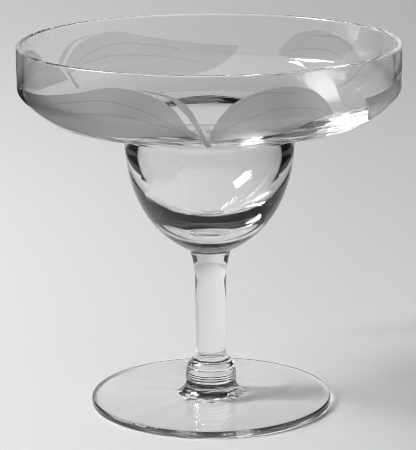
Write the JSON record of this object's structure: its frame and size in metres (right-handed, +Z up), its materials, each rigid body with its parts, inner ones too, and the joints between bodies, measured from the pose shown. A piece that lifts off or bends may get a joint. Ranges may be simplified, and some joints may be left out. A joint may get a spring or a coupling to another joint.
{
  "type": "footed cocktail glass",
  "caption": "Clear cocktail glass with a wide, shallow saucer bowl that drops into a small thick-walled cup, on a solid stem with a knop and a round foot.",
  "frame": {"origin": "on the glass's axis, in the plane that the foot stands on", "axes": "+Z up along the glass's axis, +X to the right in the picture, +Y away from the viewer"},
  "size_m": [0.118, 0.118, 0.1151],
  "materials": {
    "clear_glass": "clear and polished, with frosted leaves on the outside of the saucer"
  },
  "bodies": {
    "root": {"foot": "clear_glass", "knop": "clear_glass", "stem": "clear_glass", "bowl": "clear_glass"}
  },
  "joints": []
}
